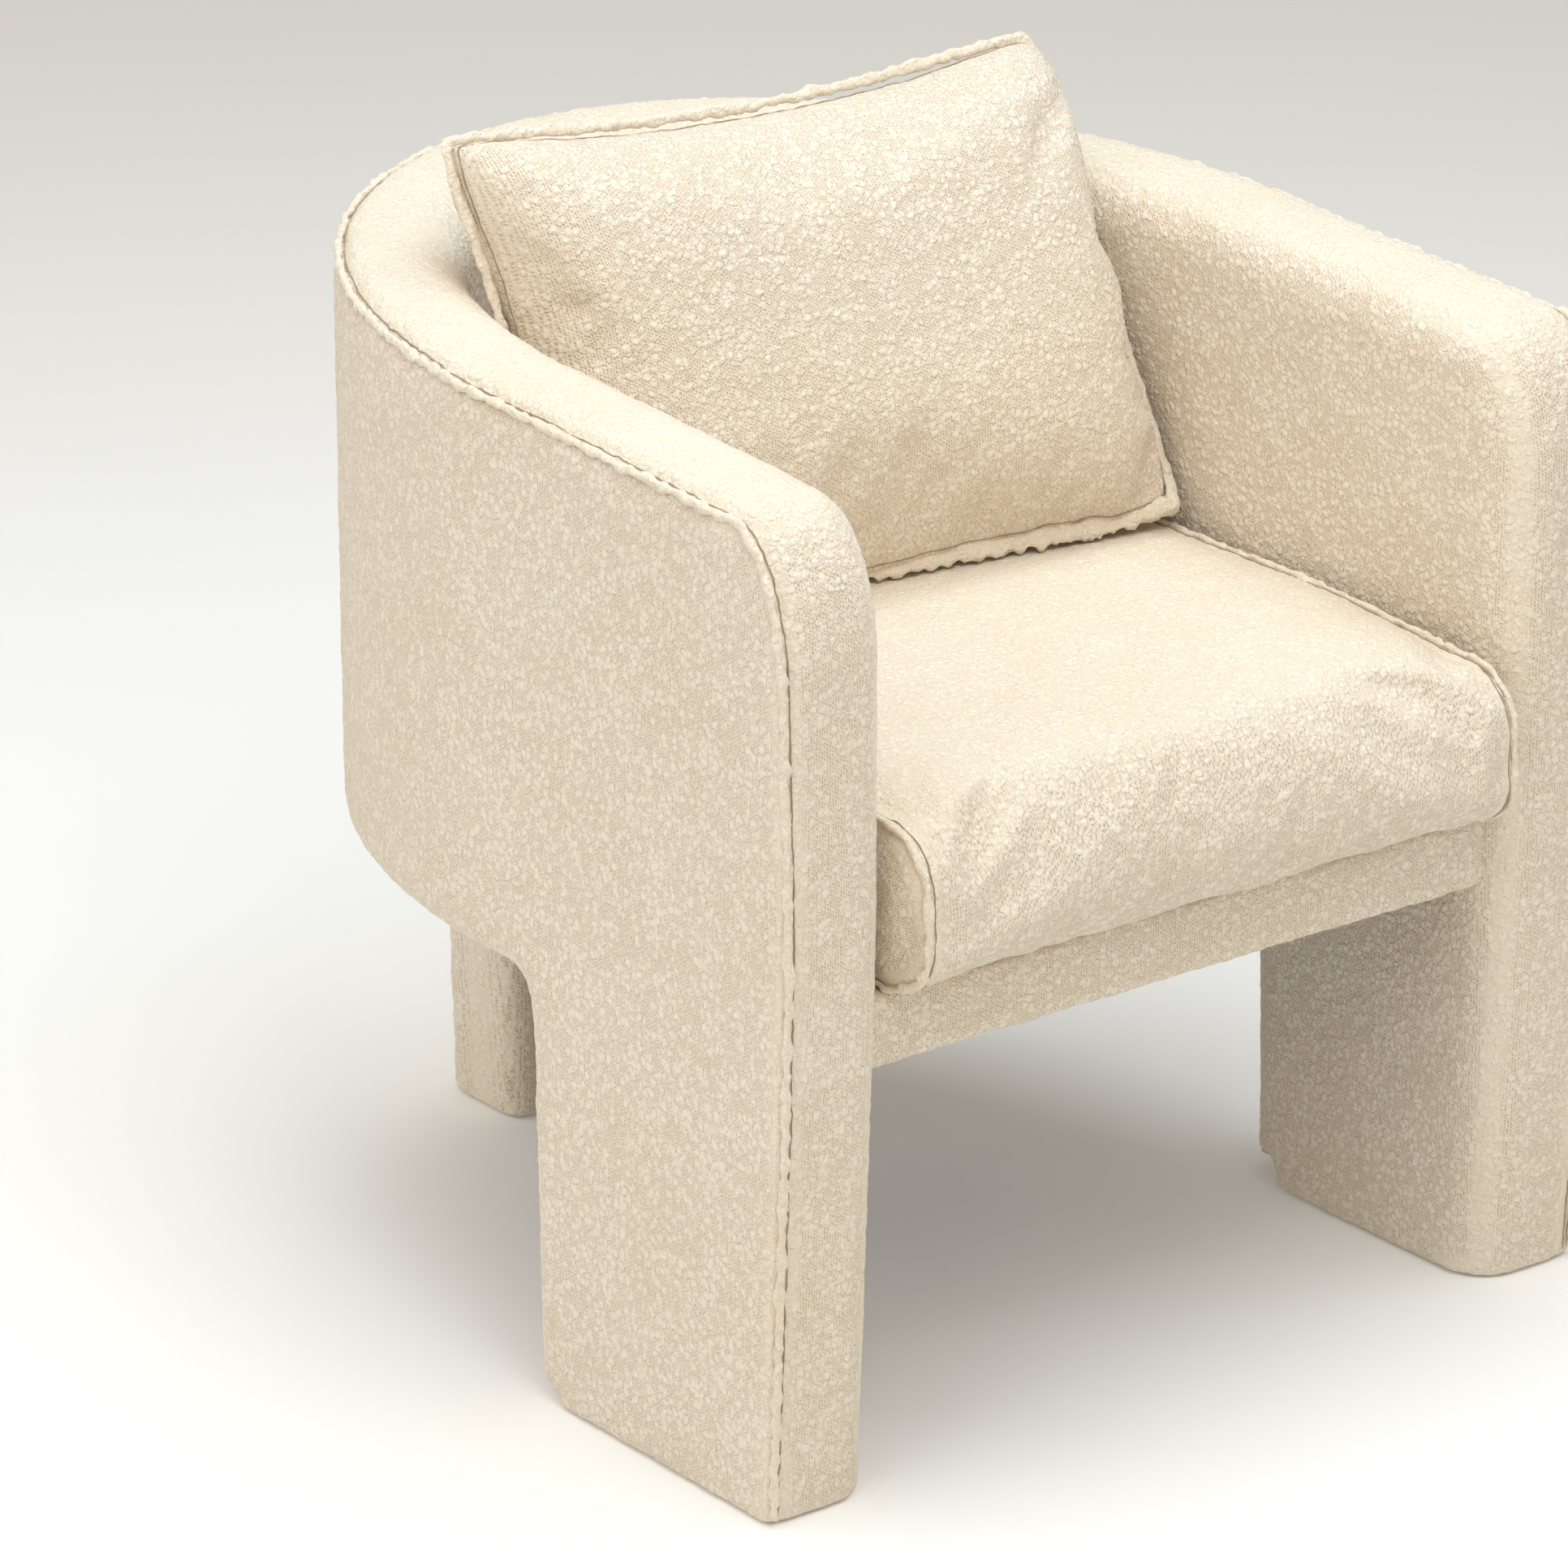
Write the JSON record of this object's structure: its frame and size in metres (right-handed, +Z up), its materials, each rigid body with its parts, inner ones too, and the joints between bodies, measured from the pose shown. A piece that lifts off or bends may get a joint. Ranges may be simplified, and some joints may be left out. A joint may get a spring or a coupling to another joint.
{
  "type": "upholstered armchair",
  "caption": "Barrel-backed armchair upholstered in nubby fabric, with padded panel legs, a loose seat cushion and a loose back pillow.",
  "frame": {"origin": "on the floor, under the middle of the chair's outer box", "axes": "+Z up; the chair faces -Y; +X is the side on the sitter's left, seen on the right from the front"},
  "size_m": [0.744, 0.811, 0.8393],
  "materials": {
    "boucle": "matte",
    "boucle_shade": "matte",
    "foam": "matte",
    "wadding": "matte",
    "plywood": "matte",
    "beech": "matte",
    "steel": "satin",
    "hessian": "matte",
    "black_cloth": "matte",
    "zip_tape": "matte",
    "glide_plastic": "satin"
  },
  "bodies": {
    "frame": {"left_outer_panel": "plywood", "right_outer_panel": "plywood", "back_outer_panel": "plywood", "left_inner_panel": "plywood", "right_inner_panel": "plywood", "back_inner_panel": "plywood", "top_rib": "plywood", "middle_rib": "plywood", "bottom_rib": "plywood", "back_uprights": "beech", "front_leg_studs": "beech", "rear_leg_outer_panel": "plywood", "rear_leg_inner_panel": "plywood", "rear_leg_studs": "beech", "front_rail": "beech", "left_seat_rail": "beech", "right_seat_rail": "beech", "back_seat_rail": "beech", "corner_blocks": "beech", "frame_screws": "steel", "seat_springs": "steel", "spring_clips": "steel", "spring_cloth": "hessian", "deck_pad": "foam", "deck_cover": "boucle_shade", "dust_cover": "black_cloth", "dust_cover_staples": "steel", "left_arm_padding": "foam", "right_arm_padding": "foam", "back_padding": "foam", "left_leg_padding": "foam", "right_leg_padding": "foam", "rear_leg_padding": "foam", "front_rail_padding": "foam", "outer_cover": "boucle_shade", "inner_cover": "boucle", "edge_welt": "boucle", "front_rail_cover": "boucle_shade", "rear_leg_cover": "boucle_shade", "floor_glides": "glide_plastic"},
    "seat_cushion": {"seat_cushion_cover": "boucle", "seat_cushion_wrap": "wadding", "seat_cushion_core": "foam", "seat_zip": "zip_tape"},
    "seat_zip_pull": {"seat_zip_slider": "steel"},
    "back_pillow": {"back_pillow_cover": "boucle", "back_pillow_insert": "wadding", "back_pillow_welt": "boucle", "pillow_zip": "zip_tape"},
    "pillow_zip_pull": {"pillow_zip_slider": "steel"}
  },
  "joints": [
    {"name": "seat_cushion_lift", "type": "slide", "parent": "frame", "child": "seat_cushion", "axis": [0, 0, 1], "range_m": [0, 0.42]},
    {"name": "back_pillow_lift", "type": "slide", "parent": "seat_cushion", "child": "back_pillow", "axis": [0, 0, 1], "range_m": [0, 0.35]},
    {"name": "seat_zip_slide", "type": "slide", "parent": "seat_cushion", "child": "seat_zip_pull", "axis": [1, 0, 0], "range_m": [0, 0.32]},
    {"name": "pillow_zip_slide", "type": "slide", "parent": "back_pillow", "child": "pillow_zip_pull", "axis": [1, 0, 0], "range_m": [0, 0.29]}
  ]
}
